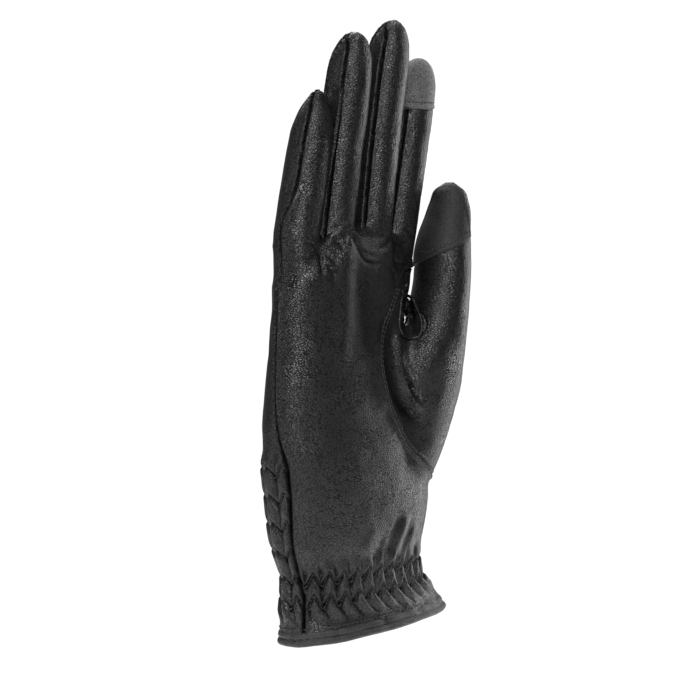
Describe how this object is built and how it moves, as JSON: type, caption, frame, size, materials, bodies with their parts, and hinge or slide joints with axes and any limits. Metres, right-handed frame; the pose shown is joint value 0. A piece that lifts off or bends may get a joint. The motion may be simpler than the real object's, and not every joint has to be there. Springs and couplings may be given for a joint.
{
  "type": "horse riding glove",
  "caption": "Black grained leather riding glove for the right hand, with fourchettes between the fingers, smooth touch fingertips, a gathered wrist and a bound cuff.",
  "frame": {"origin": "middle of the cuff's mouth, where the hand goes in", "axes": "+Z runs along the glove to the fingertips, +X is the thumb side, -Y is the palm side"},
  "size_m": [0.1002, 0.0396, 0.2364],
  "materials": {
    "grained_leather": "black pebbled grain, soft sheen",
    "thumb_tip_leather": "black, smooth and matte",
    "index_tip_leather": "charcoal, fine and matte",
    "binding_leather": "black, folded and rolled",
    "stitching": "black twisted thread"
  },
  "bodies": {
    "root": {"palm": "grained_leather", "back": "grained_leather", "thumb": "grained_leather", "thumb_gusset": "grained_leather", "fourchette_little_ring": "grained_leather", "fourchette_ring_middle": "grained_leather", "fourchette_middle_index": "grained_leather", "thumb_touch_tip": "thumb_tip_leather", "index_touch_tip": "index_tip_leather", "cuff_binding": "binding_leather"}
  },
  "joints": []
}
